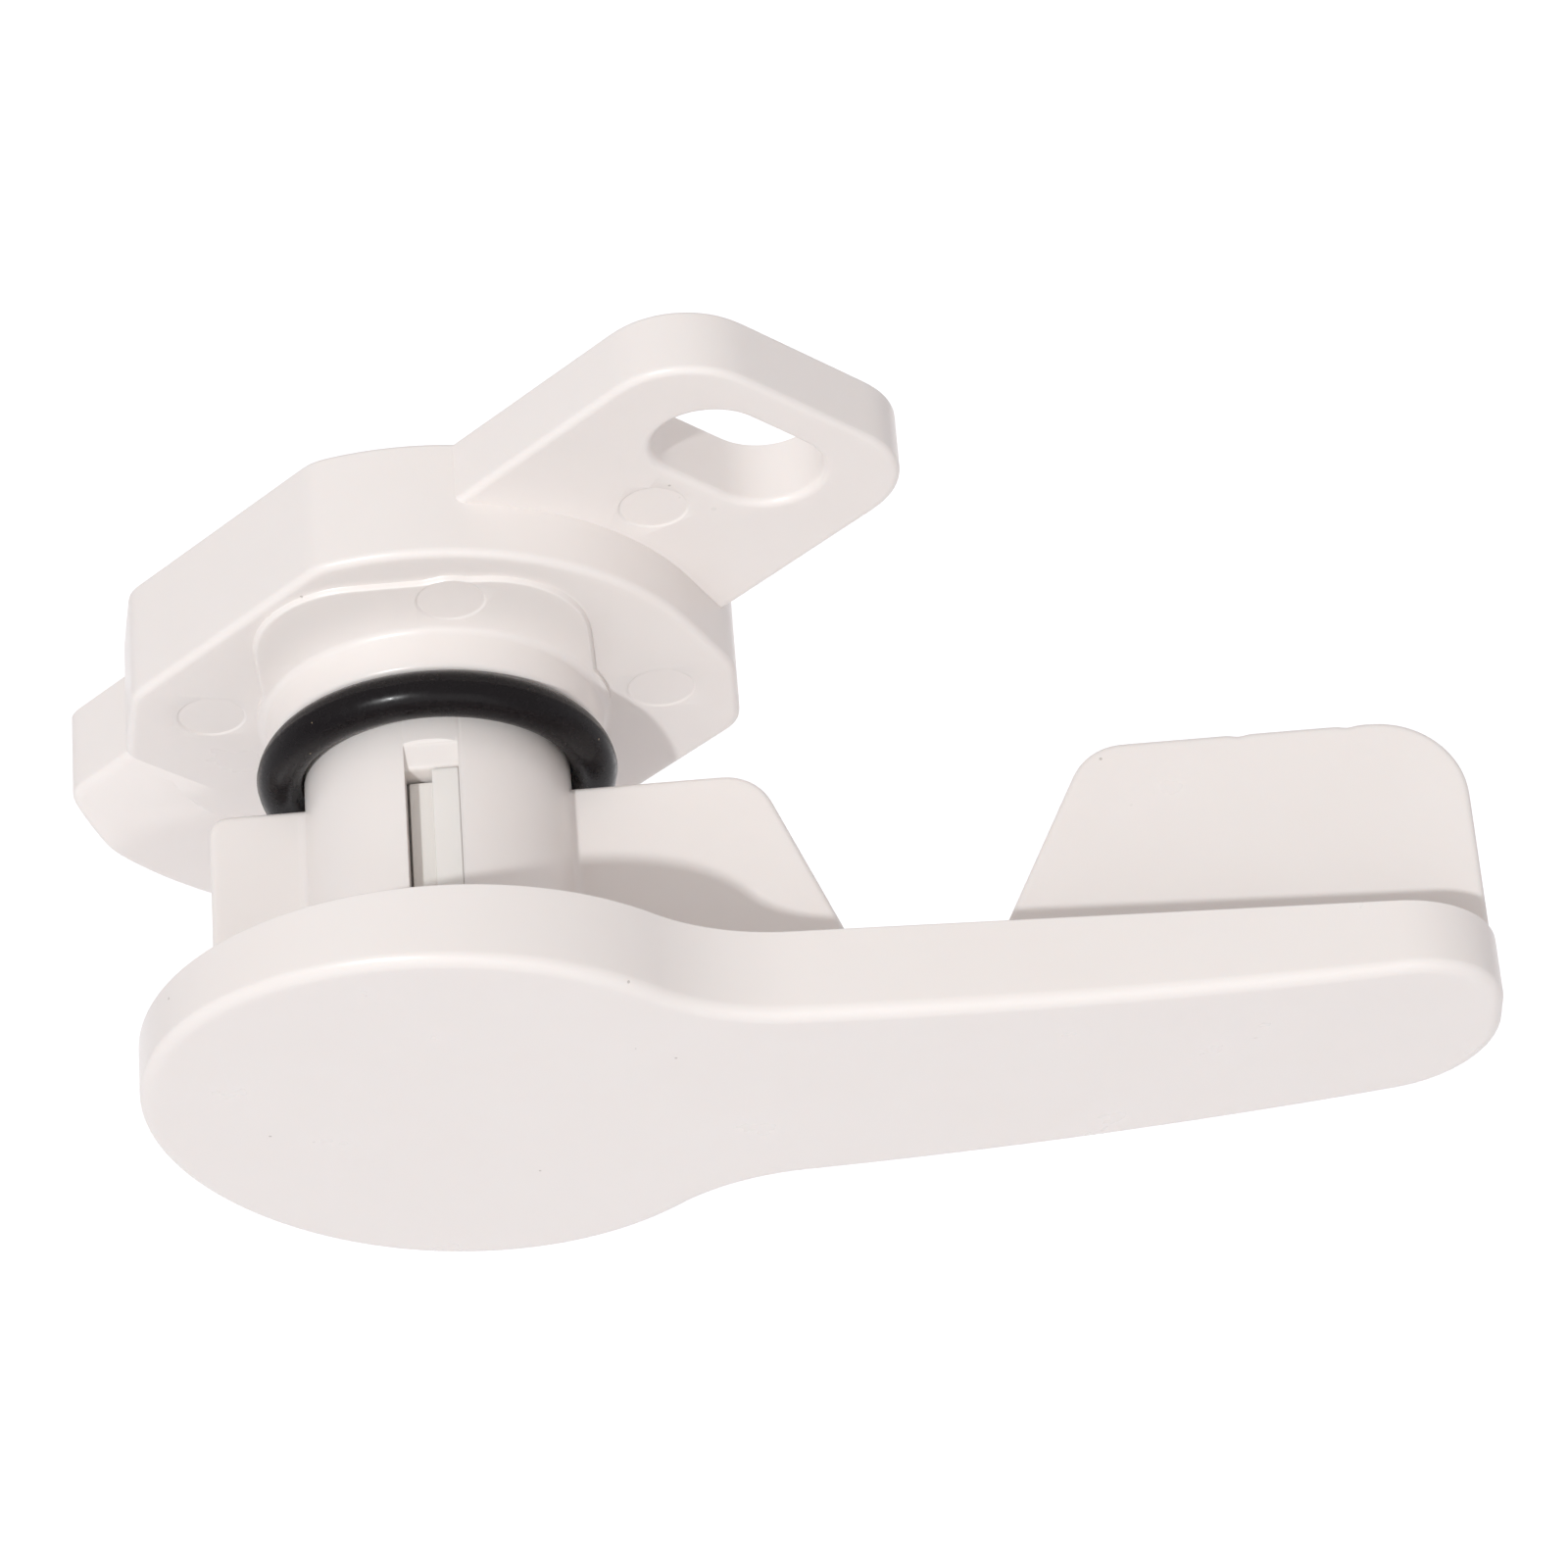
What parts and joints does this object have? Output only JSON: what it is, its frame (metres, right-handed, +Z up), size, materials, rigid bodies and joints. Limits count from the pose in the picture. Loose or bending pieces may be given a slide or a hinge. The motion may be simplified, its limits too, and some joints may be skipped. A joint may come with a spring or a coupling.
{
  "type": "turn latch",
  "caption": "Plastic turn latch: a slim lever on a sealed stem turns a quarter turn in a low bearing body with a slotted screw ear.",
  "frame": {"origin": "on the spindle axis, in the flat back face of the bearing body where it is screwed down", "axes": "+X along the lever to its tip at rest, +Y into the surface it is screwed to, +Z up and away from the lever's turning axis towards the screw ear's side"},
  "size_m": [0.0848, 0.0359, 0.0524],
  "materials": {
    "moulded_body": "injection moulded ABS, warm off-white, satin gloss",
    "natural_core": "injection moulded acetal, natural colour, as moulded",
    "seal_rubber": "black nitrile rubber, lightly greased",
    "spring_steel": "bright rolled spring steel"
  },
  "bodies": {
    "base": {"bearing_body": "moulded_body", "o_ring": "seal_rubber"},
    "lever": {"lever_handle": "moulded_body", "retaining_core": "natural_core", "wave_washer": "spring_steel"}
  },
  "joints": [
    {"name": "lever_turn", "type": "hinge", "parent": "base", "child": "lever", "pos_m": [0, 0, 0], "axis": [0, -1, 0], "range_deg": [0, 90]}
  ]
}
